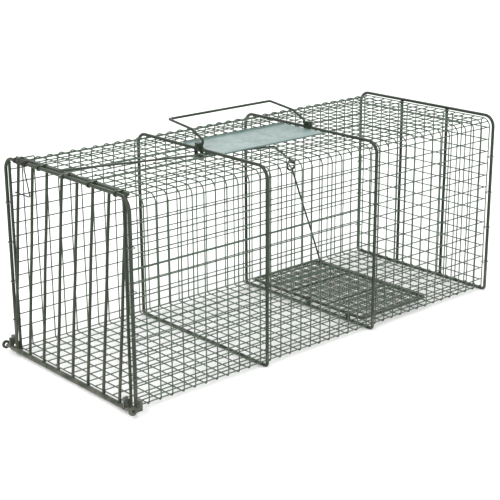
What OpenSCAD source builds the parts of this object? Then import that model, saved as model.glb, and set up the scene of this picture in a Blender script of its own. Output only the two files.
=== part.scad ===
// Live catch trap: a welded-mesh cage on four rod hoops, with a top-hung door of slanting
// bars, two slide bolts, a see-saw trigger rod, a trip pan and a folding carry handle.
// X runs across the cage, Y from the door (negative) to the closed end, Z up.

/* [Cage] */
// Spacing of the mesh wires
mesh_pitch = 25.4; // [24:0.1:27]
// Mesh cells along the cage
cells_long = 36; // [34:1:42]
// Flat mesh cells across the roof and floor, between the rounded corners
cells_wide = 13; // [13:2:15]
// Flat mesh cells up each side, between the rounded corners
cells_high = 13; // [13:2:15]
// Diameter of a mesh wire
mesh_wire_d = 2.4; // [1.8:0.1:2.4]
// Diameter of the hoop rods
hoop_rod_d = 6.35; // [6:0.05:6.6]
// Outer radius of the hoops' upper corners
hoop_corner_r = 25.4; // [24:0.1:27]
// Outer radius of the hoops' lower corners
hoop_foot_r = 9; // [9:0.5:20]
// Second hoop, measured back from the front hoop
second_hoop_at = 298.45; // [296:0.05:300]
// Third hoop, measured back from the front hoop
third_hoop_at = 577.85; // [575:0.05:580]

/* [Door] */
// Diameter of the upright door bars
door_bar_d = 5.5; // [5:0.1:6]
// Number of door bars
door_bar_count = 8; // [6:2:8]
// Spacing of the door bars
door_bar_pitch = 46.5; // [46:0.1:46.9]
// How far the door's top rod hangs behind the front hoop
door_hang = 13; // [12.6:0.1:14]
// How far the door's foot stands in front of the front hoop
door_foot_out = 16; // [15:0.5:18]
// Height of the door's foot above the ground
door_foot_z = 15; // [14:0.5:18]
// Outer diameter of the tube along the door's foot
foot_tube_d = 9.5; // [9.2:0.1:10]
// Diameter of the slide bolts
bolt_d = 6; // [5.6:0.1:6]

/* [Trip pan] */
// Width of the pan
pan_w = 330; // [300:1:332]
// Length of the pan, from its hinge to its rear edge
pan_len = 186; // [170:1:190]
// Height of the pan above the ground
pan_z = 17; // [16.5:0.5:20]
// Diameter of the pan's frame rod
pan_rod_d = 6; // [5:0.1:6]
// Spacing of the pan's mesh
pan_pitch = 12.7; // [12:0.1:16]

/* [Trigger] */
// Diameter of the trigger rod and of the pan link
trigger_wire_d = 4; // [3.6:0.1:4]
// Depth of the trigger pivot below the top of the cage
pivot_drop = 20; // [19.5:0.5:22]
// Where the trigger rod turns down, back from the front hoop
trigger_bend_at = 482; // [470:1:490]
// Where the trigger rod hooks into the pan link, back from the front hoop
trigger_end_at = 538; // [530:1:545]
// Height of that hook above the ground
trigger_end_z = 311; // [300:1:320]

/* [Handle] */
// Diameter of the handle rod
handle_d = 5; // [4.5:0.1:5]
// How far the folded grip lies from the middle of the roof
grip_out = 101; // [90:1:110]
// Height of the folded grip above its pivot
grip_up = 32; // [28:1:40]
// Width of the guard plate under the handle
guard_w = 120; // [100:1:126]

/* [Hidden] */
$fn = 48;
// Gap left between welded neighbours
weld_gap = 0.05;
// Radial gap of a part that turns or slides on another
running_gap = 0.05;
// Smallest gap between parts that pass each other
clear_gap = 0.3;
// A rod's bends are this much thicker than its straight lengths, which run this far into them
bend_swell = 0.03;
bend_lap = 0.25;

rod_r = hoop_rod_d / 2;
wire_r = mesh_wire_d / 2;
flat_w = cells_wide * mesh_pitch;
flat_h = cells_high * mesh_pitch;
cage_w = flat_w + 2 * hoop_corner_r;
cage_h = flat_h + 2 * hoop_corner_r;
// The mesh starts this far behind the front hoop and ends this far before the rear hoop
mesh_inset = hoop_rod_d;
mesh_len = cells_long * mesh_pitch;
cage_len = mesh_len + 2 * mesh_inset;
// Middle of the mesh sheet, in from the outside of the hoops
mesh_depth = hoop_rod_d + weld_gap + wire_r;
mesh_corner_r = hoop_corner_r - mesh_depth;
mesh_foot_r = max(hoop_foot_r - mesh_depth, wire_r + 3);

// The whole length is centred on the origin, from the bolt keepers to the rear hoop's clips
clip_t = 1.6;
keeper_hole_r = bolt_d / 2 + 0.6;
keeper_r = keeper_hole_r + 4.4;
door_nose = door_foot_out + keeper_r;
rear_reach = rod_r + weld_gap + clip_t;
front_y = -(door_nose + cage_len + rear_reach) / 2 + door_nose;
rear_y = front_y + cage_len;
second_y = front_y + second_hoop_at;
third_y = front_y + third_hoop_at;
mesh_y = front_y + mesh_inset;
bar_z = cage_h - rod_r;

// The roof mesh starts at its second cross wire, which leaves room for the door's top rod
roof_first = 1;
// The middle column of the roof has no cross wires up to here, where the trigger rod passes
slot_last = floor((second_hoop_at - mesh_inset) / mesh_pitch);

bar_r = door_bar_d / 2;
stop_x = 174;
stop_r = 2.75;
top_rod_half = stop_x - stop_r - 0.75;
foot_tube_half = 178;
bolt_tip_x = 197.5;
bolt_travel = 12;
keeper_t = 4;
hinge_clip_x = [-6, -3, 3, 6] * mesh_pitch;
hinge_clip_w = 4;
collar_r = rod_r + 2;
catch_r = 4.6;
catch_tooth_r = 8.5;

pivot_z = cage_h - pivot_drop;
sleeve_r = 4.5;
pivot_pin_r = 2;
cheek_t = 1.5;
cheek_x = 7.5;
trigger_x = 5;
trigger_front_z = bar_z + 12;
trigger_r = trigger_wire_d / 2;
trigger_pivot_z = pivot_z + sleeve_r + weld_gap + trigger_r;
trigger_slope = (trigger_front_z - trigger_pivot_z) / (second_hoop_at + 5.5);
link_x = -11.5 * pan_pitch;
link_top_x = -6;
link_loop_r = 10;
link_loop_drop = 5.5;

handle_z = bar_z + 7;
lug_half = 5;
guard_t = 1.2;

enamel = "#3b4a3e";
mesh_green = "#68786a";
plate_grey = "#8fa19e";
bare_steel = "#6b7069";

// ---------- Bent rod ----------

function unit(v) = v / norm(v);
function turn_between(a, b) = acos(max(-1, min(1, a * b)));

// A straight round rod from a to b
module straight_rod(a, b, d) {
    v = b - a;
    translate(a)
        rotate([0, acos(v.z / norm(v)), atan2(v.y, v.x)])
            cylinder(d = d, h = norm(v));
}

// A round rod bent at p, from direction d1 to direction d2, on the bend radius r
module rod_bend(p, d1, d2, d, r) {
    turn = turn_between(d1, d2);
    inward = unit(d2 - (d1 * d2) * d1);
    centre = p - d1 * r * tan(turn / 2) + inward * r;
    ex = -inward;
    ez = cross(ex, d1);
    upright = abs(ex.z) > 0.999999;
    spin_x = upright ? atan2(-sign(ex.z) * d1.x, d1.y) : atan2(d1.z, ez.z);
    spin_z = upright ? 0 : atan2(ex.y, ex.x);
    translate(centre)
        rotate([spin_x, -asin(max(-1, min(1, ex.z))), spin_z])
            rotate_extrude(angle = turn)
                translate([r, 0]) circle(r = d / 2 + bend_swell);
}

// A round rod through the points, with each inner corner bent on the radius r
module bent_rod(points, d, r) {
    last = len(points) - 1;
    dirs = [for (i = [0:last - 1]) unit(points[i + 1] - points[i])];
    cuts = [for (i = [0:last]) i == 0 || i == last ? 0
        : r * tan(turn_between(dirs[i - 1], dirs[i]) / 2)];
    laps = [for (i = [0:last]) i == 0 || i == last ? 0 : cuts[i] - bend_lap];
    for (i = [0:last - 1])
        straight_rod(points[i] + dirs[i] * laps[i], points[i + 1] - dirs[i] * laps[i + 1], d);
    for (i = [1:last - 1])
        rod_bend(points[i], dirs[i - 1], dirs[i], d, r);
}

// A round ring whose hole runs along X
module ring_x(centre, r, d) {
    translate(centre) rotate([0, 90, 0]) rotate_extrude() translate([r, 0]) circle(d = d);
}

// A round bar along X, centred on x = 0 unless an end is given
module bar_x(y, z, r, x0, x1) {
    translate([x0, y, z]) rotate([0, 90, 0]) cylinder(r = r, h = x1 - x0);
}

// A flat outline in Y and Z, given a thickness along X
module plate_yz(x0, x1) {
    translate([x0, 0, 0]) rotate([90, 0, 90]) linear_extrude(height = x1 - x0) children();
}

// Each child and its mirror image across the cage
module both_sides() {
    children();
    mirror([1, 0, 0]) children();
}

// ---------- Hoops ----------

// A closed rectangular hoop with rounded corners, standing across the cage at y
module hoop(y) {
    low = hoop_foot_r;
    high = cage_h - hoop_corner_r;
    both_sides() {
        translate([cage_w / 2 - rod_r, y, low]) cylinder(r = rod_r, h = high - low);
        for (corner = [[low, 270, hoop_foot_r], [high, 0, hoop_corner_r]])
            translate([cage_w / 2 - corner[2], y, corner[0]])
                rotate([90, -corner[1], 0]) mirror([0, 0, 1])
                    rotate_extrude(angle = 90) translate([corner[2] - rod_r, 0]) circle(r = rod_r);
    }
    bar_x(y, rod_r, rod_r, hoop_foot_r - cage_w / 2, cage_w / 2 - hoop_foot_r);
    bar_x(y, bar_z, rod_r, -flat_w / 2, flat_w / 2);
}

module front_hoop() { color(enamel) hoop(front_y); }
module second_hoop() { color(enamel) hoop(second_y); }
module third_hoop() { color(enamel) hoop(third_y); }
module rear_hoop() { color(enamel) hoop(rear_y); }

// Two uprights that stiffen the closed end
module rear_braces() {
    brace_x = 2.5 * mesh_pitch;
    low = hoop_rod_d + weld_gap;
    color(enamel) both_sides()
        translate([brace_x, rear_y, low]) cylinder(r = rod_r, h = cage_h - 2 * low);
}

// ---------- Mesh ----------

// Cross wires of a flat sheet and its long wires, as an outline. x runs along the cage.
module sheet_outline(cells_across, first, slot_to) {
    half = cells_across * mesh_pitch / 2;
    start = first * mesh_pitch;
    slot_edge = mesh_pitch / 2;
    for (i = [first:cells_long])
        if (i <= slot_to)
            for (side = [-1, 1])
                translate([i * mesh_pitch - wire_r, side > 0 ? slot_edge : -half - wire_r])
                    square([mesh_wire_d, half + wire_r - slot_edge]);
        else
            translate([i * mesh_pitch - wire_r, -half - wire_r])
                square([mesh_wire_d, 2 * half + mesh_wire_d]);
    for (j = [0:cells_across])
        translate([start - wire_r, j * mesh_pitch - half - wire_r])
            square([mesh_len - start + mesh_wire_d, mesh_wire_d]);
}

// A flat mesh sheet lying level, its middle at height z
module level_sheet(z, first, slot_to) {
    translate([0, mesh_y, z - wire_r]) rotate([0, 0, 90]) mirror([0, 1, 0])
        linear_extrude(height = mesh_wire_d) sheet_outline(cells_wide, first, slot_to);
}

// A flat mesh sheet standing along the cage, its middle at x
module side_sheet(x) {
    translate([x - wire_r, mesh_y, cage_h / 2]) rotate([90, 0, 90])
        linear_extrude(height = mesh_wire_d) sheet_outline(cells_high, 0, -1);
}

module left_mesh() { color(mesh_green) side_sheet(mesh_depth - cage_w / 2); }
module right_mesh() { color(mesh_green) side_sheet(cage_w / 2 - mesh_depth); }
module roof_mesh() { color(mesh_green) level_sheet(cage_h - mesh_depth, roof_first, slot_last); }
module floor_mesh() { color(mesh_green) level_sheet(mesh_depth, 0, -1); }

// The closed end's mesh, just inside the last cross wires
module rear_mesh() {
    reach = mesh_corner_r - wire_r - clear_gap;
    thick = mesh_wire_d;
    half_w = flat_w / 2;
    half_h = flat_h / 2;
    back = rear_y - mesh_inset - wire_r - clear_gap;
    color(mesh_green) translate([0, back, cage_h / 2]) rotate([90, 0, 0])
        linear_extrude(height = thick) {
            for (i = [0:cells_wide])
                translate([i * mesh_pitch - half_w - wire_r, -half_h - reach])
                    square([mesh_wire_d, 2 * (half_h + reach)]);
            for (j = [0:cells_high])
                translate([-half_w - reach, j * mesh_pitch - half_h - wire_r])
                    square([2 * (half_w + reach), mesh_wire_d]);
        }
}

// Cross wires that bend round an upper edge of the cage, and the long wire inside them
module corner_strip(first) {
    edge_turn = asin((wire_r + weld_gap) / mesh_corner_r);
    start = first * mesh_pitch;
    long_in = mesh_wire_d + weld_gap;
    translate([flat_w / 2, mesh_y, cage_h - hoop_corner_r]) {
        for (i = [first:cells_long])
            translate([0, i * mesh_pitch, 0]) rotate([90, -edge_turn, 0]) mirror([0, 0, 1])
                rotate_extrude(angle = 90 - 2 * edge_turn)
                    translate([mesh_corner_r, 0]) circle(d = mesh_wire_d, $fn = 24);
        rotate([0, -45, 0]) translate([mesh_corner_r - long_in, start - wire_r, 0])
            rotate([-90, 0, 0])
                cylinder(d = mesh_wire_d, h = mesh_len - start + mesh_wire_d, $fn = 24);
    }
}

// A square outline with the corner at the origin rounded
module round_corner(side, r) {
    translate([r, 0]) square([side - r, side]);
    translate([0, r]) square([side, side - r]);
    translate([r, r]) circle(r = r);
}

// Cross wires that turn the sharper lower edge of the cage, and the long wire inside them
module lower_strip() {
    leg = mesh_corner_r - weld_gap;
    outer_r = mesh_foot_r + wire_r;
    long_in = outer_r - (mesh_foot_r - mesh_wire_d - weld_gap) * sqrt(0.5);
    outside = mesh_depth - wire_r;
    translate([cage_w / 2 - outside, mesh_y, outside]) mirror([1, 0, 0]) {
        for (i = [0:cells_long])
            translate([0, i * mesh_pitch + wire_r, 0]) rotate([90, 0, 0])
                linear_extrude(height = mesh_wire_d) difference() {
                    round_corner(leg, outer_r);
                    translate([mesh_wire_d, mesh_wire_d])
                        round_corner(leg, outer_r - mesh_wire_d);
                }
        translate([long_in, -wire_r, long_in]) rotate([-90, 0, 0])
            cylinder(d = mesh_wire_d, h = mesh_len + mesh_wire_d, $fn = 24);
    }
}

module upper_left_corner_mesh() { color(mesh_green) mirror([1, 0, 0]) corner_strip(roof_first); }
module upper_right_corner_mesh() { color(mesh_green) corner_strip(roof_first); }
module lower_left_corner_mesh() { color(mesh_green) mirror([1, 0, 0]) lower_strip(); }
module lower_right_corner_mesh() { color(mesh_green) lower_strip(); }

// Crimped clips that tie the mesh's end wires to the front and rear hoops
module mesh_clips() {
    clip_w = 2;
    back = mesh_inset + wire_r + weld_gap;
    deep = rod_r + weld_gap;
    color(bare_steel)
        for (end = [[front_y, 1], [rear_y, -1]])
            for (level = [-5, -2, 1, 4])
                both_sides()
                    translate([cage_w / 2 - mesh_depth - wire_r - weld_gap - clip_t,
                            end[0], cage_h / 2 + level * mesh_pitch])
                        mirror([0, end[1] < 0 ? 1 : 0, 0])
                            linear_extrude(height = clip_w) difference() {
                                translate([0, -deep - clip_t])
                                    square([mesh_depth + wire_r + 2 * (clip_t + weld_gap),
                                        back + deep + 2 * clip_t]);
                                translate([clip_t, -deep])
                                    square([mesh_depth + wire_r + 2 * weld_gap, back + deep]);
                            }
}

// ---------- Door ----------

door_foot_y = front_y - door_foot_out;
door_top_y = front_y + door_hang;
// The uprights beside the door end where they meet the front hoop's bars or bends
function stop_end(r) = r + weld_gap - sqrt(pow(r - hoop_rod_d, 2)
    - pow(max(stop_x + stop_r - cage_w / 2 + r, 0), 2));
stop_low = stop_end(hoop_foot_r);
stop_high = cage_h - stop_end(hoop_corner_r);

// Uprights beside the posts, which close the gaps beside the door
module door_side_stops() {
    color(enamel) both_sides()
        translate([stop_x, front_y, stop_low]) cylinder(r = stop_r, h = stop_high - stop_low);
}

// Tabs at the foot of the uprights that the shut door rests against
module door_rests() {
    tab_t = 3;
    tab_high = 26;
    tab_back = front_y - stop_r - weld_gap;
    tab_front = door_foot_y + foot_tube_d / 2 + clear_gap;
    color(enamel) both_sides()
        translate([stop_x - tab_t / 2, tab_front, stop_low])
            cube([tab_t, tab_back - tab_front, tab_high - stop_low]);
}

// Rings on the front posts that the slide bolts shoot into
module bolt_keepers() {
    ring_x0 = bolt_tip_x + 1;
    stem_h = 8;
    stem_back = front_y + rod_r;
    color(enamel) both_sides() {
        plate_yz(ring_x0, ring_x0 + keeper_t) difference() {
            union() {
                translate([door_foot_y, door_foot_z]) circle(r = keeper_r);
                translate([door_foot_y + keeper_hole_r, door_foot_z - stem_h / 2])
                    square([stem_back - door_foot_y - keeper_hole_r, stem_h]);
            }
            translate([door_foot_y, door_foot_z]) circle(r = keeper_hole_r);
        }
        translate([cage_w / 2 + weld_gap, front_y - rod_r, door_foot_z - stem_h / 2 + 11])
            cube([ring_x0 - cage_w / 2 - weld_gap, hoop_rod_d, stem_h]);
        translate([ring_x0, front_y - rod_r, door_foot_z])
            cube([keeper_t, hoop_rod_d, stem_h / 2 + 11]);
    }
}

module door_top_rod() {
    color(enamel) bar_x(door_top_y, bar_z, rod_r, -top_rod_half, top_rod_half);
}

// Bars from the top rod down and forward to the foot tube
module door_bars() {
    top = [0, door_top_y, bar_z];
    foot = [0, door_foot_y, door_foot_z];
    down = unit(foot - top);
    top_gap = rod_r + weld_gap;
    foot_gap = foot_tube_d / 2 + weld_gap;
    color(enamel) for (i = [0:door_bar_count - 1])
        translate([(i - (door_bar_count - 1) / 2) * door_bar_pitch, 0, 0])
            straight_rod(top + down * top_gap, foot - down * foot_gap, door_bar_d);
}

module door_foot_tube() {
    bore_depth = 60;
    color(enamel) difference() {
        bar_x(door_foot_y, door_foot_z, foot_tube_d / 2, -foot_tube_half, foot_tube_half);
        both_sides()
            bar_x(door_foot_y, door_foot_z, bolt_d / 2 + running_gap,
                foot_tube_half - bore_depth, foot_tube_half + 1);
    }
}

// A strap that turns on the front hoop's top bar and is fixed to the door's top rod
module hinge_strap(outer_r) {
    web_h = 2 * outer_r - 2;
    difference() {
        union() {
            translate([front_y, bar_z]) circle(r = outer_r);
            translate([door_top_y, bar_z]) circle(r = outer_r);
            translate([front_y, bar_z - web_h / 2]) square([door_hang, web_h]);
        }
        for (y = [front_y, door_top_y])
            translate([y, bar_z]) circle(r = rod_r + running_gap);
    }
}

module door_hinge_clips() {
    color(enamel) for (x = hinge_clip_x)
        plate_yz(x - hinge_clip_w / 2, x + hinge_clip_w / 2) hinge_strap(collar_r);
}

// The middle strap, whose tooth the trigger rod's hook holds while the door is up
module door_catch() {
    half = 2;
    tooth_h = 4.4;
    color(bare_steel) plate_yz(-half, half) {
        hinge_strap(catch_r);
        translate([front_y - catch_tooth_r, bar_z - tooth_h / 2])
            square([catch_tooth_r - rod_r - 0.5, tooth_h]);
    }
}

// A bolt inside the end of the foot tube, with a thumb tab, drawn at the near side
module slide_bolt() {
    bolt_in_x = foot_tube_half - 50;
    tab_t = 3;
    tab_w = 9;
    tab_top = door_foot_z + 20;
    tip = 2;
    bar_x(door_foot_y, door_foot_z, bolt_d / 2, bolt_in_x, bolt_tip_x - tip);
    translate([bolt_tip_x - tip, door_foot_y, door_foot_z]) rotate([0, 90, 0])
        cylinder(r1 = bolt_d / 2, r2 = bolt_d / 2 - 1, h = tip);
    translate([foot_tube_half + clear_gap, door_foot_y - tab_w / 2, door_foot_z])
        cube([tab_t, tab_w, tab_top - door_foot_z]);
}

module left_slide_bolt() { color(bare_steel) mirror([1, 0, 0]) slide_bolt(); }
module right_slide_bolt() { color(bare_steel) slide_bolt(); }

// ---------- Door spring ----------

spring_wire_d = 2.5;
spring_r = rod_r + 0.4 + spring_wire_d / 2;
spring_x0 = -144;
spring_x1 = -119;
spring_turns = 8;
spring_steps = 12;

// The wound part, round the front hoop's top bar, with a leg hooked on the roof mesh
module door_spring_coil() {
    sides = 6;
    leg_d = spring_wire_d + 0.15;
    rings = spring_turns * spring_steps;
    function ring_at(i) = let (a = 360 * i / spring_steps + 90, x = spring_x0
        + (spring_x1 - spring_x0) * i / rings)
        [for (k = [0:sides - 1]) let (b = 360 * k / sides,
            r = spring_r + spring_wire_d / 2 * cos(b))
            [x + spring_wire_d / 2 * sin(b), front_y + r * cos(a), bar_z + r * sin(a)]];
    points = [for (i = [0:rings]) each ring_at(i)];
    walls = [for (i = [0:rings - 1]) for (k = [0:sides - 1])
        let (n = (k + 1) % sides, a = i * sides, b = (i + 1) * sides) [a + k, a + n, b + n, b + k]];
    ends = [[for (k = [sides - 1:-1:0]) k], [for (k = [0:sides - 1]) rings * sides + k]];
    color(bare_steel) polyhedron(points = points, faces = concat(walls, ends));
    leg_z = bar_z + spring_r;
    hook_y = mesh_y + mesh_pitch + wire_r + clear_gap + leg_d / 2;
    color(bare_steel) bent_rod([[spring_x0, front_y - 0.3, leg_z], [spring_x0, hook_y, leg_z],
        [spring_x0, hook_y, cage_h - mesh_depth - 4]], leg_d, 3);
}

// The leg that presses on the door
module door_spring_leg() {
    leg_x = spring_x1 + spring_wire_d + clear_gap;
    top = [leg_x, front_y - spring_r, bar_z];
    drop = 62;
    foot_x = 6 - stop_x;
    low_y = door_top_y - drop * (door_hang + door_foot_out) / (bar_z - door_foot_z)
        - bar_r - weld_gap - spring_wire_d / 2;
    color(bare_steel) bent_rod([top, [leg_x, front_y - spring_r, bar_z - 10],
        [leg_x, low_y, bar_z - drop], [foot_x, low_y, bar_z - drop]], spring_wire_d, 5);
}

// ---------- Handle ----------

module handle() {
    leg_in = lug_half + clear_gap + handle_d / 2 + 2;
    stub = lug_half + 3;
    elbow = [-34, 24];
    shoulder = [-1, 9];
    function at(x, y, z) = [x, y, handle_z + z];
    color(enamel) bent_rod([
        at(0, second_y - stub, 0),
        at(0, second_y + leg_in, 0),
        at(shoulder[0], second_y + leg_in, shoulder[1]),
        at(elbow[0], second_y + leg_in, elbow[1]),
        at(-grip_out, second_y + leg_in, grip_up),
        at(-grip_out, third_y - leg_in, grip_up),
        at(elbow[0], third_y - leg_in, elbow[1]),
        at(shoulder[0], third_y - leg_in, shoulder[1]),
        at(0, third_y - leg_in, 0),
        at(0, third_y + stub, 0)], handle_d, 4);
}

// A lug wrapped round a hoop's top bar, with an eye for the handle's end
module handle_lug(y) {
    half_x = 6;
    top_wall = 2;
    hole_r = handle_d / 2 + running_gap;
    color(enamel) translate([0, y, 0]) difference() {
        union() {
            bar_x(0, bar_z, collar_r, -half_x, half_x);
            translate([-half_x, -lug_half, bar_z])
                cube([2 * half_x, 2 * lug_half, handle_z + hole_r + top_wall - bar_z]);
        }
        bar_x(0, bar_z, rod_r + weld_gap, -half_x - 1, half_x + 1);
        translate([0, lug_half + 1, handle_z]) rotate([90, 0, 0])
            cylinder(r = hole_r, h = 2 * lug_half + 2);
    }
}

module front_handle_lug() { handle_lug(second_y); }
module rear_handle_lug() { handle_lug(third_y); }

// The sheet on the roof that keeps the catch away from the carrying hand
module handle_guard_plate() {
    end_gap = 6.5;
    lip = 4;
    low = cage_h - hoop_rod_d + weld_gap;
    y0 = second_y + end_gap;
    y1 = third_y - end_gap;
    color(plate_grey) {
        translate([-guard_w / 2, y0, low]) cube([guard_w, y1 - y0, guard_t]);
        both_sides()
            translate([guard_w / 2 - guard_t, y0, low]) cube([guard_t, y1 - y0, lip]);
    }
}

// ---------- Trigger ----------

// Two cheeks that hang from the second hoop's top bar and hold the pivot pin
module trigger_hanger() {
    foot_r = 4.5;
    color(enamel) both_sides()
        plate_yz(cheek_x, cheek_x + cheek_t) difference() {
            union() {
                translate([second_y, bar_z]) circle(r = collar_r);
                translate([second_y, pivot_z]) circle(r = foot_r);
                translate([second_y - 4, pivot_z]) square([8, bar_z - pivot_z]);
            }
            translate([second_y, bar_z]) circle(r = rod_r + weld_gap);
            translate([second_y, pivot_z]) circle(r = pivot_pin_r + running_gap);
        }
}

module trigger_pivot_pin() {
    head_t = 1;
    head_r = 3.2;
    half = cheek_x + cheek_t + weld_gap;
    color(bare_steel) {
        bar_x(second_y, pivot_z, pivot_pin_r, -half, half);
        both_sides() bar_x(second_y, pivot_z, head_r, half, half + head_t);
    }
}

module trigger_sleeve() {
    half = cheek_x - 1;
    color(bare_steel) difference() {
        bar_x(second_y, pivot_z, sleeve_r, -half, half);
        bar_x(second_y, pivot_z, pivot_pin_r + running_gap, -half - 1, half + 1);
    }
}

// The rod from the hook over the front hoop, across the sleeve, down to the pan link
module trigger_rod() {
    hook_y = front_y - 5.5;
    bend_y = front_y + trigger_bend_at;
    end_y = front_y + trigger_end_at;
    bend_z = trigger_front_z - trigger_slope * (bend_y - hook_y);
    color(enamel) bent_rod([
        [-3, hook_y, trigger_front_z],
        [trigger_x, hook_y, trigger_front_z],
        [trigger_x, bend_y, bend_z],
        [trigger_x, end_y, trigger_end_z],
        [-14, end_y, trigger_end_z]], trigger_wire_d, 3);
}

// ---------- Trip pan ----------

pan_y = third_y;
pan_rear_y = pan_y + pan_len;
pan_rod_r = pan_rod_d / 2;
pan_clip_x = [-9.5, 0.5, 9.5] * pan_pitch;

// A rectangular frame of rod, whose front side turns in the hinge clips
module pan_frame() {
    bend = 8;
    half = pan_w / 2 - pan_rod_r;
    color(enamel) {
        for (y = [pan_y, pan_rear_y]) bar_x(y, pan_z, pan_rod_r, bend - half, half - bend);
        both_sides() {
            translate([half, pan_y + bend, pan_z]) rotate([-90, 0, 0])
                cylinder(r = pan_rod_r, h = pan_len - 2 * bend);
            for (corner = [[pan_y + bend, 270], [pan_rear_y - bend, 0]])
                translate([half - bend, corner[0], pan_z]) rotate([0, 0, corner[1]])
                    rotate_extrude(angle = 90) translate([bend, 0]) circle(r = pan_rod_r);
        }
    }
}

// Two stiffening bars under the pan's mesh
module pan_crossbars() {
    crossbar_r = 2;
    inside = pan_rod_r + weld_gap;
    color(enamel) for (x = [-1, 1] * pan_w / 6)
        translate([x, pan_y + inside, pan_z - 0.4]) rotate([-90, 0, 0])
            cylinder(r = crossbar_r, h = pan_len - 2 * inside);
}

module pan_mesh() {
    wire = 1.8;
    inside_x = pan_w / 2 - pan_rod_d - weld_gap;
    inside_y = pan_len - 2 * (pan_rod_r + weld_gap);
    columns = floor(inside_x / pan_pitch);
    rows = floor(inside_y / pan_pitch / 2) - 1;
    low = pan_z + 1.65;
    mid_y = pan_y + pan_len / 2;
    color(mesh_green) translate([0, mid_y, low]) linear_extrude(height = wire) {
        for (i = [-columns:columns])
            translate([i * pan_pitch - wire / 2, -inside_y / 2]) square([wire, inside_y]);
        for (j = [-rows:rows])
            translate([-inside_x, j * pan_pitch - wire / 2]) square([2 * inside_x, wire]);
    }
}

// Eyes on posts, standing on the third hoop's bottom bar
module pan_hinge_clips() {
    eye_r = pan_rod_r + running_gap + 2.2;
    half_w = 4.5;
    stem = 2;
    color(enamel) for (x = pan_clip_x)
        plate_yz(x - half_w, x + half_w) difference() {
            union() {
                translate([pan_y, pan_z]) circle(r = eye_r);
                translate([pan_y - stem, hoop_rod_d + weld_gap])
                    square([2 * stem, pan_z - hoop_rod_d - weld_gap]);
            }
            translate([pan_y, pan_z]) circle(r = pan_rod_r + running_gap);
        }
}

// The wire from the pan's rear edge up to the trigger rod
module pan_link() {
    eye_r = pan_rod_r + clear_gap + trigger_r;
    foot = [link_x, pan_rear_y, pan_z];
    loop = [link_top_x, front_y + trigger_end_at, trigger_end_z - link_loop_drop];
    rise = unit(loop - foot);
    color(enamel) {
        ring_x(foot, eye_r, trigger_wire_d);
        ring_x(loop, link_loop_r, trigger_wire_d);
        straight_rod(foot + rise * eye_r, loop - rise * link_loop_r, trigger_wire_d - 0.1);
    }
}

front_hoop();
second_hoop();
third_hoop();
rear_hoop();
rear_braces();
left_mesh();
right_mesh();
roof_mesh();
floor_mesh();
rear_mesh();
upper_left_corner_mesh();
upper_right_corner_mesh();
lower_left_corner_mesh();
lower_right_corner_mesh();
mesh_clips();
door_side_stops();
door_rests();
bolt_keepers();
door_top_rod();
door_bars();
door_foot_tube();
door_hinge_clips();
door_catch();
left_slide_bolt();
right_slide_bolt();
door_spring_coil();
door_spring_leg();
handle();
front_handle_lug();
rear_handle_lug();
handle_guard_plate();
trigger_hanger();
trigger_pivot_pin();
trigger_sleeve();
trigger_rod();
pan_frame();
pan_crossbars();
pan_mesh();
pan_hinge_clips();
pan_link();
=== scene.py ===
# Looks for the live catch trap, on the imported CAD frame.
# Lengths are millimetres until mm() turns them to metres.
import math
import random
import bmesh
import bpy
from mathutils import Matrix, Vector


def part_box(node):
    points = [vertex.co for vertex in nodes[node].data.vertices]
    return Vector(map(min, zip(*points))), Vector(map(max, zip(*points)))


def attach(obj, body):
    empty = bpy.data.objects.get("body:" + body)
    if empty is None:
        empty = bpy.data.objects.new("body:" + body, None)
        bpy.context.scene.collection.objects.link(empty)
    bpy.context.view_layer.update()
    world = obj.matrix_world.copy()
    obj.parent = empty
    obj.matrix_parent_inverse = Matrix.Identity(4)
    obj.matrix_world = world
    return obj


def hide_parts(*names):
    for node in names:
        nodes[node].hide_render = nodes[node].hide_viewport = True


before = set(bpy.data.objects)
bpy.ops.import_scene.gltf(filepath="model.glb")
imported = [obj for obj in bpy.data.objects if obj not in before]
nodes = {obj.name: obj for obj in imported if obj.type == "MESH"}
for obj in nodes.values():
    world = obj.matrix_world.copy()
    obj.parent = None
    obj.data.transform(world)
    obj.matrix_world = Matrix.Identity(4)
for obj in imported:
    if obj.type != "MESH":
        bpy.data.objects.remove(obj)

random.seed(11)
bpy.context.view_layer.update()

# ---------- Dimensions ----------

# The cage: mesh cells, wire and rod radii, and the hoops
PITCH = 25.4
LONG = 36
ACROSS = 13
WIRE = 1.2
ROD = 3.175
TALL = 381.0
FLAT = ACROSS * PITCH / 2
MID = TALL / 2
HOOP_R = 25.4
FOOT_R = 9.0
BEND = HOOP_R - ROD
BRACE_X = 63.5
STOP_X = 174
STOP_R = 2.75

# The mesh: how far in its outer wires lie, and how far in from those the inner layer is
DEPTH = 7.6
LAYER = 2 * WIRE - 0.1
SKIN = FLAT + HOOP_R - DEPTH
INNER = SKIN - LAYER
CORNER = HOOP_R - DEPTH
FOOT_BEND = WIRE + 3.0
SLOT_LAST = 11
SLOT_EDGE = 11.2

# Places along the cage and above the ground
FRONT = (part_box("front_hoop")[0].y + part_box("front_hoop")[1].y) * 500
SECOND = (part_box("second_hoop")[0].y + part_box("second_hoop")[1].y) * 500
THIRD = (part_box("third_hoop")[0].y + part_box("third_hoop")[1].y) * 500
REAR = (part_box("rear_hoop")[0].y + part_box("rear_hoop")[1].y) * 500
BAR_Z = TALL - ROD
MESH_Y = FRONT + 2 * ROD

# The door, its spring, the trigger and the pan
TOP_Y = FRONT + 13
FOOT_Y = FRONT - 16
FOOT_Z = 15
BAR_R = 2.75
BAR_PITCH = 46.5
SPRING_X = -144
SPRING_R = 1.25
SPRING_DRAWN = 1.22
TRIGGER_R = 2.0
TRIGGER_END = FRONT + 538
PAN_Z = 17
PAN_END = THIRD + 186
PAN_HALF = 165
PAN_ROD = 3.0
PAN_PITCH = 12.7


def mm(v):
    return Vector(v) * 0.001


# ---------- Mesh building ----------

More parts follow.
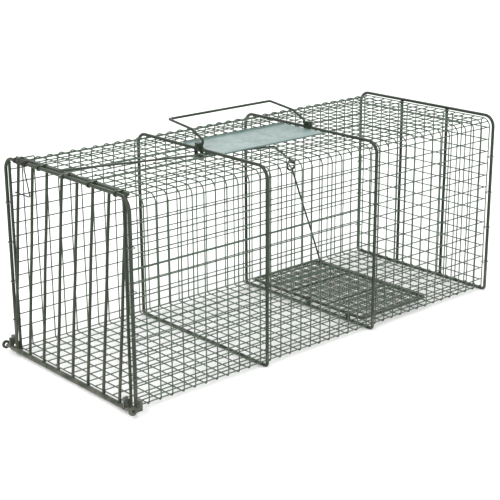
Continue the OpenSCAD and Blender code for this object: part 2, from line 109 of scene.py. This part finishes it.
def new_piece(name, verts, faces, body, material, replaced=()):
    mesh = bpy.data.meshes.new(name)
    mesh.from_pydata([tuple(v) for v in verts], [], faces)
    mesh.validate()
    mesh.polygons.foreach_set("use_smooth", [True] * len(mesh.polygons))
    mesh.materials.append(material)
    obj = bpy.data.objects.new(name, mesh)
    bpy.context.scene.collection.objects.link(obj)
    if replaced:
        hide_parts(*replaced)
    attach(obj, body)
    return obj


def filleted(points, radius, closed=False, steps=7):
    """The path through the points, in millimetres, with its inner corners rounded."""
    pts = [Vector(p) for p in points]
    out = []
    count = len(pts)
    radii = radius if isinstance(radius, (list, tuple)) else [radius] * count
    for i, p in enumerate(pts):
        r = radii[i]
        if not closed and i in (0, count - 1):
            out.append(p)
            continue
        a = (pts[i - 1] - p).normalized()
        b = (pts[(i + 1) % count] - p).normalized()
        half = a.angle(b) / 2
        if half > math.radians(89.5):
            out.append(p)
            continue
        cut = r / math.tan(half)
        centre = p + (a + b).normalized() * (r / math.sin(half))
        start = p + a * cut - centre
        end = p + b * cut - centre
        for k in range(steps + 1):
            out.append(centre + start.slerp(end, k / steps).normalized() * r)
    return out


def sweep(verts, faces, path, r, sides, closed=False, dome=True):
    """Adds a round tube along a path of millimetre points."""
    pts = [mm(p) for p in path]
    count = len(pts)
    base = len(verts)
    r = r * 0.001
    tangents = []
    for i in range(count):
        before = pts[i - 1] if closed or i else pts[i]
        after = pts[(i + 1) % count] if closed or i < count - 1 else pts[i]
        tangents.append((after - before).normalized())
    t = tangents[0]
    side = t.orthogonal().normalized()
    rings = []
    for i in range(count):
        side = (side - tangents[i] * side.dot(tangents[i])).normalized()
        rings.append((pts[i], side.copy(), tangents[i].cross(side), r))
    if dome and not closed:
        first, last = rings[0], rings[-1]
        ends = ((0.0, 0.55), (0.3, 0.86), (0.75, 1.0))
        head = [(first[0] + tangents[0] * r * s, first[1], first[2], r * k) for s, k in ends]
        tail = [(last[0] - tangents[-1] * r * s, last[1], last[2], r * k) for s, k in reversed(ends)]
        rings = head + rings[1:-1] + tail
    for p, u, v, radius in rings:
        for k in range(sides):
            a = 2 * math.pi * k / sides
            verts.append(p + u * (radius * math.cos(a)) + v * (radius * math.sin(a)))
    total = len(rings)
    for i in range(total if closed else total - 1):
        j = (i + 1) % total
        for k in range(sides):
            n = (k + 1) % sides
            faces.append((base + i * sides + k, base + i * sides + n,
                          base + j * sides + n, base + j * sides + k))
    if not closed:
        faces.append(tuple(base + k for k in reversed(range(sides))))
        faces.append(tuple(base + (total - 1) * sides + k for k in range(sides)))


def rods(name, paths, r, body, material, replaced=(), sides=16, closed=False):
    verts, faces = [], []
    for path in paths:
        sweep(verts, faces, path, r, sides, closed)
    return new_piece(name, verts, faces, body, material, replaced)


def straight(a, b, parts=1, sway=0.0):
    """Points from a to b, a little off the line between its ends."""
    a, b = Vector(a), Vector(b)
    u = (b - a).normalized().orthogonal()
    v = (b - a).normalized().cross(u)
    phase = [random.uniform(0, 6.28) for _ in range(4)]
    out = []
    for i in range(parts + 1):
        t = i / parts
        window = math.sin(math.pi * t)
        du = sway * window * (math.sin(7 * t + phase[0]) + 0.5 * math.sin(17 * t + phase[1]))
        dv = sway * window * (math.sin(6 * t + phase[2]) + 0.5 * math.sin(15 * t + phase[3]))
        out.append(a.lerp(b, t) + u * du + v * dv)
    return out


def lathe_x(name, profile, y, z, body, material, replaced=(), sides=32):
    """Turns a profile of (x, radius) about the line along X through y and z."""
    verts, faces = [], []
    for x, r in profile:
        for k in range(sides):
            a = 2 * math.pi * k / sides
            verts.append(mm((x, y + r * math.cos(a), z + r * math.sin(a))))
    for i in range(len(profile) - 1):
        for k in range(sides):
            n = (k + 1) % sides
            faces.append((i * sides + k, (i + 1) * sides + k, (i + 1) * sides + n, i * sides + n))
    faces.append(tuple(range(sides)))
    faces.append(tuple(reversed(range((len(profile) - 1) * sides, len(profile) * sides))))
    obj = new_piece(name, verts, faces, body, material, replaced)
    obj.modifiers.new("edges", "EDGE_SPLIT").split_angle = math.radians(40)
    return obj


def weld_beads(name, spots, body, material):
    """Small uneven lumps of weld metal. Each spot is a centre and three half-sizes, in millimetres."""
    bm = bmesh.new()
    for centre, size in spots:
        made = bmesh.ops.create_icosphere(bm, subdivisions=2, radius=1.0)["verts"]
        spin = Matrix.Rotation(random.uniform(0, 6.28), 3, "Z")
        for v in made:
            p = spin @ v.co
            lump = 0.16 * math.sin(5 * p.x + centre[0]) * math.cos(4 * p.y + centre[2])
            k = 1 + lump + random.uniform(-0.05, 0.05)
            v.co = mm([centre[i] + p[i] * size[i] * k for i in range(3)])
    mesh = bpy.data.meshes.new(name)
    bm.to_mesh(mesh)
    bm.free()
    mesh.polygons.foreach_set("use_smooth", [True] * len(mesh.polygons))
    mesh.materials.append(material)
    obj = bpy.data.objects.new(name, mesh)
    bpy.context.scene.collection.objects.link(obj)
    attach(obj, body)


def soften(obj, angle):
    """A fine bevel along the edges sharper than the angle, in degrees."""
    edge = obj.modifiers.new("soft_edges", "BEVEL")
    edge.width = 0.00025
    edge.segments = 2
    edge.limit_method = "ANGLE"
    edge.angle_limit = math.radians(angle)


# ---------- Materials ----------

class Nodes:
    """A short way to write a shader tree."""

    def __init__(self, name):
        self.material = bpy.data.materials.new(name)
        self.material.use_nodes = True
        self.tree = self.material.node_tree
        self.shader = self.tree.nodes["Principled BSDF"]
        self.place = self.add("ShaderNodeTexCoord").outputs["Object"]

    def add(self, kind, **values):
        node = self.tree.nodes.new(kind)
        for key, value in values.items():
            setattr(node, key, value)
        return node

    def link(self, a, b):
        self.tree.links.new(a, b)

    def noise(self, scale, detail=4.0, rough=0.55, stretch=None):
        node = self.add("ShaderNodeTexNoise")
        node.inputs["Scale"].default_value = scale
        node.inputs["Detail"].default_value = detail
        node.inputs["Roughness"].default_value = rough
        source = self.place
        if stretch:
            mapping = self.add("ShaderNodeMapping")
            mapping.inputs["Scale"].default_value = stretch
            self.link(self.place, mapping.inputs["Vector"])
            source = mapping.outputs["Vector"]
        self.link(source, node.inputs["Vector"])
        return node.outputs["Fac"]

    def ramp(self, value, low, high, a=0.0, b=1.0):
        node = self.add("ShaderNodeMapRange")
        node.clamp = True
        node.inputs["From Min"].default_value = low
        node.inputs["From Max"].default_value = high
        node.inputs["To Min"].default_value = a
        node.inputs["To Max"].default_value = b
        self.link(value, node.inputs["Value"])
        return node.outputs["Result"]

    def mix(self, amount, a, b):
        node = self.add("ShaderNodeMix", data_type="RGBA")
        self.link(amount, node.inputs["Factor"])
        for value, socket in ((a, node.inputs[6]), (b, node.inputs[7])):
            if isinstance(value, tuple):
                socket.default_value = (*value, 1.0)
            else:
                self.link(value, socket)
        return node.outputs[2]

    def math(self, operation, a, b):
        node = self.add("ShaderNodeMath", operation=operation)
        for value, socket in ((a, node.inputs[0]), (b, node.inputs[1])):
            if isinstance(value, (int, float)):
                socket.default_value = value
            else:
                self.link(value, socket)
        return node.outputs[0]

    def height(self, low, high):
        """1 below low and 0 above high, in metres above the ground."""
        node = self.add("ShaderNodeSeparateXYZ")
        self.link(self.place, node.inputs[0])
        return self.ramp(node.outputs["Z"], low, high, 1.0, 0.0)

    def bump(self, value, strength, distance, below=None):
        node = self.add("ShaderNodeBump")
        node.inputs["Strength"].default_value = strength
        node.inputs["Distance"].default_value = distance
        self.link(value, node.inputs["Height"])
        if below is not None:
            self.link(below, node.inputs["Normal"])
        return node.outputs["Normal"]


def enamel(name, colour, pale, chipped=0.66, rough=0.36, peel=0.00012, bare=(0.19, 0.185, 0.175)):
    """Sprayed or dipped enamel on steel: mottled, a little orange peel, thin spots and small chips."""
    n = Nodes(name)
    tone = n.mix(n.ramp(n.noise(26, 5.0), 0.3, 0.72), colour, pale)
    dark = tuple(c * 0.6 for c in colour)
    tone = n.mix(n.ramp(n.noise(190, 6.0, 0.62), 0.5, 0.78, 0.0, 0.55), tone, dark)
    dust = n.math("MULTIPLY", n.height(0.004, 0.12), n.ramp(n.noise(60, 6.0), 0.38, 0.72, 0.0, 0.42))
    tone = n.mix(dust, tone, (0.22, 0.21, 0.17))
    chips = n.ramp(n.noise(410, 8.0, 0.7), chipped, chipped + 0.03)
    scuff = n.ramp(n.noise(52, 7.0, 0.7, stretch=(1.0, 1.0, 5.0)), 0.62, 0.8, 0.0, 0.5)
    tone = n.mix(scuff, tone, tuple(min(1.0, c * 1.55 + 0.02) for c in pale))
    n.link(n.mix(chips, tone, bare), n.shader.inputs["Base Color"])
    n.link(n.ramp(n.noise(75, 6.0), 0.3, 0.75, rough - 0.07, rough + 0.17), n.shader.inputs["Roughness"])
    n.link(n.math("MULTIPLY", chips, 0.85), n.shader.inputs["Metallic"])
    peeled = n.bump(n.noise(900, 3.0), 0.35, peel)
    n.link(n.bump(n.math("SUBTRACT", 1.0, chips), 0.5, 0.00008, peeled), n.shader.inputs["Normal"])
    n.shader.inputs["Specular IOR Level"].default_value = 0.33
    return n.material


def plated(name, colour, dull, stain, rough=0.38, grain=(1.0, 1.0, 1.0)):
    """Zinc-plated or oiled steel: cloudy, with fine rolled grain and faint brown stains."""
    n = Nodes(name)
    cells = n.add("ShaderNodeTexVoronoi")
    cells.inputs["Scale"].default_value = 420
    n.link(n.place, cells.inputs["Vector"])
    tone = n.mix(n.ramp(cells.outputs["Distance"], 0.0, 0.9), colour, dull)
    tone = n.mix(n.ramp(n.noise(48, 7.0, 0.65), 0.42, 0.7, 0.0, 0.7), tone, dull)
    rust = n.ramp(n.noise(120, 8.0, 0.72), 0.64, 0.78, 0.0, 0.75)
    n.link(n.mix(rust, tone, stain), n.shader.inputs["Base Color"])
    n.link(n.math("SUBTRACT", 0.92, n.math("MULTIPLY", rust, 0.7)), n.shader.inputs["Metallic"])
    n.link(n.ramp(n.noise(140, 5.0), 0.3, 0.75, rough - 0.1, rough + 0.18), n.shader.inputs["Roughness"])
    fine = n.bump(n.noise(1300, 3.0, stretch=grain), 0.3, 0.00006)
    n.link(n.bump(n.noise(160, 4.0), 0.25, 0.0001, fine), n.shader.inputs["Normal"])
    return n.material


rod_paint = enamel("rod_enamel", (0.012, 0.021, 0.010), (0.026, 0.038, 0.022))
door_paint = enamel("door_enamel", (0.013, 0.022, 0.010), (0.028, 0.040, 0.023), chipped=0.65, rough=0.34)
handle_paint = enamel("handle_enamel", (0.015, 0.025, 0.014), (0.031, 0.045, 0.029), chipped=0.63, rough=0.3)
mesh_paint = enamel("mesh_enamel", (0.043, 0.073, 0.047), (0.085, 0.122, 0.088), chipped=0.66, rough=0.42)
pan_paint = enamel("pan_enamel", (0.042, 0.068, 0.038), (0.080, 0.112, 0.070), chipped=0.64, rough=0.45)
guard_paint = enamel("guard_enamel", (0.10, 0.162, 0.148), (0.175, 0.245, 0.235),
                     chipped=0.7, rough=0.4, peel=0.0002)
zinc = plated("zinc_plate", (0.20, 0.205, 0.19), (0.10, 0.105, 0.095), (0.11, 0.06, 0.03), 0.45)
spring_steel = plated("spring_steel", (0.075, 0.077, 0.07), (0.032, 0.034, 0.03), (0.06, 0.035, 0.02), 0.34)
weld_metal = plated("weld_metal", (0.055, 0.075, 0.06), (0.03, 0.05, 0.035), (0.08, 0.05, 0.03), 0.45)

# ---------- Hoops and uprights ----------


def square_loop(half_x, low, high, y, foot_bend, top_bend, steps=10):
    corners = [(half_x, y, low), (half_x, y, high), (-half_x, y, high), (-half_x, y, low)]
    return filleted(corners, (foot_bend, top_bend, top_bend, foot_bend), closed=True, steps=steps)


for label, y in (("front", FRONT), ("second", SECOND), ("third", THIRD), ("rear", REAR)):
    loop = square_loop(FLAT + BEND, ROD, BAR_Z, y, FOOT_R - ROD, BEND)
    rods(label + "_hoop_rod", [loop], ROD, "cage", rod_paint, (label + "_hoop",), 20, True)

rods("rear_brace_rods", [straight((x, REAR, ROD + 2), (x, REAR, BAR_Z - 2), 12, 0.15)
                         for x in (-BRACE_X, BRACE_X)],
     ROD, "cage", rod_paint, ("rear_braces",), 20)
# The door's side rods run on up into the welds under the hoop's bends
rods("door_side_rods", [straight((x, FRONT, 2 * ROD + 0.1), (x, FRONT, TALL - 8.5), 12, 0.1)
                        for x in (-STOP_X, STOP_X)],
     STOP_R, "cage", rod_paint, ("door_side_stops",), 18)

spots = []
for x in (-BRACE_X, BRACE_X):
    for z in (ROD * 2 + 0.4, TALL - ROD * 2 - 0.4):
        spots.append(((x, REAR, z), (4.3, 3.9, 1.7)))
for x in (-STOP_X, STOP_X):
    for z in (2 * ROD + 1.4, TALL - 10.2):
        spots.append(((x, FRONT, z), (4.0, 3.4, 2.0)))
weld_beads("cage_welds", spots, "cage", weld_metal)

# ---------- Welded mesh ----------


def grid_levels(count):
    return [-FLAT + PITCH * i for i in range(count + 1)]


def cross_y(i):
    return MESH_Y + PITCH * i


LAST = cross_y(LONG)
over = WIRE + 0.6
for side, label in ((-1, "left"), (1, "right")):
    paths = [straight((side * SKIN, cross_y(i), MID - FLAT), (side * SKIN, cross_y(i), MID + FLAT),
                      14, 0.12) for i in range(LONG + 1)]
    paths += [straight((side * INNER, cross_y(0) - over, MID + z), (side * INNER, LAST + over, MID + z),
                       60, 0.2) for z in grid_levels(ACROSS)]
    rods(label + "_mesh_wires", paths, WIRE, "cage", mesh_paint, (label + "_mesh",), 8)

# The roof starts at its second cross wire, and its middle column is open for the trigger rod
sheets = (("floor", DEPTH, DEPTH + LAYER, 0), ("roof", TALL - DEPTH, TALL - DEPTH - LAYER, 1))
for label, level, inner, first in sheets:
    paths = []
    for i in range(first, LONG + 1):
        y = cross_y(i)
        if label == "roof" and i <= SLOT_LAST:
            paths.append(straight((-FLAT, y, level), (-SLOT_EDGE, y, level), 8, 0.1))
            paths.append(straight((SLOT_EDGE, y, level), (FLAT, y, level), 8, 0.1))
        else:
            paths.append(straight((-FLAT, y, level), (FLAT, y, level), 14, 0.12))
    paths += [straight((x, cross_y(first) - over, inner), (x, LAST + over, inner), 60, 0.2)
              for x in grid_levels(ACROSS)]
    rods(label + "_mesh_wires", paths, WIRE, "cage", mesh_paint, (label + "_mesh",), 8)


def lower_wire(side, y):
    return filleted([(side * FLAT, y, DEPTH), (side * SKIN, y, DEPTH), (side * SKIN, y, MID - FLAT)],
                    FOOT_BEND, steps=6)


def upper_wire(side, y):
    centre = Vector((side * FLAT, 0, MID + FLAT))
    turns = [math.radians(90 * k / 8) for k in range(9)]
    return [centre + Vector((side * CORNER * math.cos(a), y, CORNER * math.sin(a))) for a in turns]


# The long wire inside a lower bend is this far in from the flat sheets, and the one inside an
# upper bend is this far out from where the flat sheets end
low_deep = FOOT_BEND - (FOOT_BEND - LAYER) * math.sqrt(0.5)
high_deep = (CORNER - LAYER) * math.sqrt(0.5)
for side, across in ((-1, "left"), (1, "right")):
    for along, first, cross_wire, x, z in (
            ("lower", 0, lower_wire, side * (SKIN - low_deep), DEPTH + low_deep),
            ("upper", 1, upper_wire, side * FLAT + side * high_deep, MID + FLAT + high_deep)):
        paths = [cross_wire(side, cross_y(i)) for i in range(first, LONG + 1)]
        paths.append(straight((x, cross_y(first) - over, z), (x, LAST + over, z), 60, 0.15))
        verts, faces = [], []
        for path in paths:
            sweep(verts, faces, path, WIRE, 8, dome=False)
        new_piece(along + "_" + across + "_corner_wires", verts, faces, "cage", mesh_paint,
                  (along + "_" + across + "_corner_mesh",))

# The closed end's mesh lies just inside the last cross wires
back = REAR - 2 * ROD - 2 * WIRE - 0.3
reach = FLAT + 16.2
deep = back - LAYER
paths = [straight((x, deep, MID - reach), (x, deep, MID + reach), 16, 0.15) for x in grid_levels(ACROSS)]
paths += [straight((-reach, back, MID + z), (reach, back, MID + z), 16, 0.15) for z in grid_levels(ACROSS)]
rods("rear_mesh_wires", paths, WIRE, "cage", mesh_paint, ("rear_mesh",), 8)

# Crimped rings that tie the mesh to the end hoops
paths = []
for y, turn in ((FRONT, 1), (REAR, -1)):
    for level in (-5, -2, 1, 4):
        for side in (-1, 1):
            z = MID + level * PITCH + 1
            x_in, x_out = side * 180.8, side * 191.3
            y_out, y_in = y - turn * 4.0, y + turn * 8.4
            slant = random.uniform(-0.5, 0.5)
            ring = [(x_out, y + turn * 1.5, z + 0.7 + slant), (x_out, y_out, z), (x_in, y_out, z),
                    (x_in, y_in, z), (x_out - side * 1.0, y_in, z), (x_out, y + turn * 1.7, z - 0.8 + slant)]
            paths.append(filleted(ring, 2.6, steps=6))
rods("mesh_clip_rings", paths, 0.8, "cage", zinc, ("mesh_clips",), 10)

# ---------- Door ----------

top_half = STOP_X - STOP_R - 0.75
rods("door_top_bar", [straight((-top_half, TOP_Y, BAR_Z), (top_half, TOP_Y, BAR_Z), 12, 0.0)],
     ROD, "door", door_paint, ("door_top_rod",), 20)
down = Vector((0, FOOT_Y - TOP_Y, FOOT_Z - BAR_Z)).normalized()
paths = []
spots = []
for x in [BAR_PITCH * (i - 3.5) for i in range(8)]:
    top = Vector((x, TOP_Y, BAR_Z))
    foot = Vector((x, FOOT_Y, FOOT_Z))
    paths.append(straight(top + down * 1.5, foot - down * 3.0, 12, 0.25))
    spots.append((tuple(top + down * 3.6), (3.7, 3.3, 1.6)))
    spots.append((tuple(foot - down * 5.2), (3.9, 3.7, 1.7)))
rods("door_bar_rods", paths, BAR_R, "door", door_paint, ("door_bars",), 18)
weld_beads("door_welds", spots, "door", weld_metal)
lathe_x("door_foot_pipe",
        [(-118, 0.05), (-118, 3.05), (-177.6, 3.05), (-178, 3.4), (-178, 4.4), (-177.6, 4.75),
         (177.6, 4.75), (178, 4.4), (178, 3.4), (177.6, 3.05), (118, 3.05), (118, 0.05)],
        FOOT_Y, FOOT_Z, "door", door_paint, ("door_foot_tube",))

# Spring: the wound part stays with the hoop, the pressing leg goes with the door
coil_r = ROD + 0.4 + SPRING_R
hook_y = MESH_Y + PITCH + WIRE + 0.3 + 1.325
leg_z = BAR_Z + coil_r
path = filleted([(SPRING_X, hook_y, TALL - DEPTH - 4), (SPRING_X, hook_y, leg_z),
                 (SPRING_X, FRONT, leg_z)], 3.2)[:-1]
turns, grain, wound = 8, 26, 25
for i in range(turns * grain + 1):
    a = math.radians(90 + 360 * i / grain)
    x = SPRING_X + wound * i / (turns * grain)
    path.append(Vector((x, FRONT + coil_r * math.cos(a), BAR_Z + coil_r * math.sin(a))))
rods("door_spring_winding", [path], SPRING_DRAWN, "cage", spring_steel,
     ("door_spring_coil",), 12)
leg_x = -116.2
press = 62
path = [Vector((leg_x, FRONT + coil_r * math.cos(a), BAR_Z + coil_r * math.sin(a)))
        for a in [math.radians(64 + 116 * k / 10) for k in range(11)]]
low_y = TOP_Y + press * down.y / -down.z - BAR_R - 0.05 - SPRING_R
path += filleted([(leg_x, FRONT - coil_r, BAR_Z - 4), (leg_x, FRONT - coil_r, BAR_Z - 10),
                  (leg_x, low_y, BAR_Z - press), (6 - STOP_X, low_y, BAR_Z - press)], (0, 8, 5, 0))
rods("door_spring_arm", [path], SPRING_DRAWN, "door", spring_steel,
     ("door_spring_leg",), 12)

# ---------- Handle and guard ----------

# The handle lies folded to one side, its ends in the lugs on the two middle hoops
hz = BAR_Z + 7
leg = 5 + 0.3 + 2.5 + 2
points = [(0, SECOND - 8, hz), (0, SECOND + leg, hz), (-1, SECOND + leg, hz + 9),
          (-34, SECOND + leg, hz + 24), (-101, SECOND + leg, hz + 32), (-101, THIRD - leg, hz + 32),
          (-34, THIRD - leg, hz + 24), (-1, THIRD - leg, hz + 9), (0, THIRD - leg, hz), (0, THIRD + 8, hz)]
rods("handle_rod", [filleted(points, 4, steps=9)], 2.5, "carry_handle", handle_paint,
     ("handle",), 20)


def guard_sheet():
    """A thin sheet with its long edges turned up, rounded corners and a faint sag."""
    y0, y1 = SECOND + 6.5, THIRD - 6.5
    low, thick, half_w, lip = TALL - 2 * ROD + 0.05, 1.2, 60.0, 4.0
    bend = 2.2
    profile = [(-half_w + thick / 2, lip), (-half_w + thick / 2, bend + thick / 2)]
    for k in range(1, 7):
        a = math.radians(180 + 90 * k / 6)
        profile.append((-half_w + thick / 2 + bend * (1 + math.cos(a)), thick / 2 + bend * (1 + math.sin(a))))
    for k in range(1, 24):
        profile.append((-half_w + thick / 2 + bend + (2 * half_w - thick - 2 * bend) * k / 24, thick / 2))
    profile += [(-x, z) for x, z in reversed(profile[:8])]
    bm = bmesh.new()
    rows = 56
    grid = []
    for j in range(rows + 1):
        t = j / rows
        row = []
        for x, z in profile:
            inset = max(0.0, 5.0 - min(t, 1 - t) * (y1 - y0))
            pull = 5.0 - math.sqrt(max(0.0, 25.0 - inset * inset))
            edge = 1.0 if abs(x) > half_w - 3 else 0.0
            zz = z - (pull * 0.5 * edge if z > 1.5 else 0.0)
            y = y0 + t * (y1 - y0)
            dent = 0.10 * math.sin(0.11 * x + 2) * math.sin(0.045 * y + 1) if edge == 0 else 0.0
            row.append(bm.verts.new(mm((x, y, low + max(zz + abs(dent), thick / 2)))))
        grid.append(row)
    for a, b in zip(grid, grid[1:]):
        for k in range(len(profile) - 1):
            bm.faces.new((a[k], a[k + 1], b[k + 1], b[k]))
    mesh = bpy.data.meshes.new("guard_sheet")
    bm.to_mesh(mesh)
    bm.free()
    mesh.polygons.foreach_set("use_smooth", [True] * len(mesh.polygons))
    mesh.materials.append(guard_paint)
    obj = bpy.data.objects.new("handle_guard_sheet", mesh)
    bpy.context.scene.collection.objects.link(obj)
    solid = obj.modifiers.new("thickness", "SOLIDIFY")
    solid.thickness = thick * 0.001
    solid.offset = 0
    soften(obj, 50)
    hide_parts("handle_guard_plate")
    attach(obj, "cage")


guard_sheet()

# ---------- Trigger and pan ----------

hook = FRONT - 5.5
front_z = BAR_Z + 12
# The pivot's height, then the sleeve's radius, a hair's gap and the rod's own radius
pivot_z = TALL - 20 + 4.5 + 0.05 + TRIGGER_R
slope = (front_z - pivot_z) / (SECOND - hook)
bend_y = FRONT + 482
points = [(-3, hook, front_z), (5, hook, front_z), (5, bend_y, front_z - slope * (bend_y - hook)),
          (5, TRIGGER_END, 311), (-14, TRIGGER_END, 311)]
rods("trigger_wire", [filleted(points, 3, steps=8)], TRIGGER_R, "trigger", handle_paint,
     ("trigger_rod",), 16)


def ring_yz(centre, r, steps=40):
    return [Vector((centre[0], centre[1] + r * math.cos(2 * math.pi * k / steps),
                    centre[2] + r * math.sin(2 * math.pi * k / steps))) for k in range(steps)]


# The link's two loops: one round the pan's frame, one round the trigger's cross end
foot = Vector((-146.05, PAN_END, PAN_Z))
loop = Vector((-6, TRIGGER_END, 305.5))
rise = (loop - foot).normalized()
verts, faces = [], []
sweep(verts, faces, ring_yz(foot, 5.3), 2.0, 14, True)
sweep(verts, faces, ring_yz(loop, 10), 2.0, 14, True)
sweep(verts, faces, straight(foot + rise * 4.0, loop - rise * 9.0, 14, 0.25), 1.95, 14)
new_piece("pan_link_wire", verts, faces, "pan_pull", handle_paint, ("pan_link",))

pan_half = PAN_HALF - PAN_ROD
corners = [(pan_half, THIRD, PAN_Z), (pan_half, PAN_END, PAN_Z),
           (-pan_half, PAN_END, PAN_Z), (-pan_half, THIRD, PAN_Z)]
rods("pan_frame_rod", [filleted(corners, 8, closed=True)], PAN_ROD, "trip_pan", rod_paint,
     ("pan_frame",), 18, True)
rods("pan_crossbar_rods", [straight((x, THIRD + 1.5, PAN_Z - 0.4), (x, PAN_END - 1.5, PAN_Z - 0.4), 8, 0.0)
                           for x in (-55, 55)],
     2.0, "trip_pan", rod_paint, ("pan_crossbars",), 14)
inside = PAN_HALF - 2 * PAN_ROD + 0.5
mid_y = (THIRD + PAN_END) / 2
near, far = mid_y - 90.6, mid_y + 90.6
paths = [straight((x, near, PAN_Z + 2.55), (x, far, PAN_Z + 2.55), 12, 0.08)
         for x in [PAN_PITCH * i for i in range(-12, 13)]]
paths += [straight((-inside, y, PAN_Z + 4.2), (inside, y, PAN_Z + 4.2), 24, 0.08)
          for y in [mid_y + PAN_PITCH * j for j in range(-6, 7)]]
rods("pan_mesh_wires", paths, 0.9, "trip_pan", pan_paint, ("pan_mesh",), 8)

# ---------- CAD nodes that stay, with better materials ----------

kept = {
    zinc: ("door_catch", "left_slide_bolt", "right_slide_bolt", "trigger_pivot_pin", "trigger_sleeve"),
    door_paint: ("door_hinge_clips",),
    rod_paint: ("front_handle_lug", "rear_handle_lug", "door_rests", "bolt_keepers", "trigger_hanger",
                "pan_hinge_clips"),
}
for material, names in kept.items():
    for name in names:
        obj = nodes[name]
        for slot in obj.material_slots:
            slot.material = material
        soften(obj, 55)

# ---------- Studio ----------

floor_mesh = bpy.data.meshes.new("studio_floor")
floor_mesh.from_pydata([(-30, -30, 0), (30, -30, 0), (30, 30, 0), (-30, 30, 0)], [], [(0, 1, 2, 3)])
floor = bpy.data.objects.new("studio_floor", floor_mesh)
bpy.context.scene.collection.objects.link(floor)
pale = Nodes("pale_floor")
pale.link(pale.mix(pale.ramp(pale.noise(1.5, 2.0), 0.3, 0.7), (0.91, 0.91, 0.905), (0.93, 0.93, 0.925)),
          pale.shader.inputs["Base Color"])
pale.shader.inputs["Roughness"].default_value = 0.8
pale.shader.inputs["Specular IOR Level"].default_value = 0.1
floor_mesh.materials.append(pale.material)

world = bpy.data.worlds.new("soft_studio")
world.use_nodes = True
world.node_tree.nodes["Background"].inputs["Color"].default_value = (1.0, 1.0, 1.0, 1.0)
world.node_tree.nodes["Background"].inputs["Strength"].default_value = 1.1
bpy.context.scene.world = world


def soft_light(name, place, power, size):
    light = bpy.data.lights.new(name, "AREA")
    light.energy = power
    light.shape = "DISK"
    light.size = size
    obj = bpy.data.objects.new(name, light)
    obj.location = place
    aim = Vector((0, 0, 0.15)) - Vector(place)
    obj.rotation_euler = aim.to_track_quat("-Z", "Y").to_euler()
    bpy.context.scene.collection.objects.link(obj)


soft_light("key", (0.6, -2.6, 2.9), 70, 1.8)
soft_light("fill", (3.0, 0.4, 1.6), 30, 2.2)
soft_light("rim", (-2.4, 1.8, 2.6), 40, 1.6)

# The camera's angles and place, fitted to the photograph
azimuth, elevation, roll = math.radians(48.547), math.radians(17.816), math.radians(-0.275)
behind = Vector((math.sin(azimuth) * math.cos(elevation), -math.cos(azimuth) * math.cos(elevation),
                 math.sin(elevation)))
right = Vector((math.cos(azimuth), math.sin(azimuth), 0))
upward = behind.cross(right)
x_axis = right * math.cos(roll) + upward * math.sin(roll)
y_axis = upward * math.cos(roll) - right * math.sin(roll)
camera = bpy.data.cameras.new("camera")
camera.sensor_width = 36
camera.lens = 91.55
camera.clip_start = 0.05
camera.clip_end = 100
eye = bpy.data.objects.new("camera", camera)
turned = Matrix((x_axis, y_axis, behind)).transposed().to_4x4()
eye.matrix_world = Matrix.Translation((1.7805, -1.6035, 0.918)) @ turned
bpy.context.scene.collection.objects.link(eye)
bpy.context.scene.camera = eye

bpy.context.scene.view_settings.view_transform = "Standard"
bpy.context.scene.view_settings.look = "None"
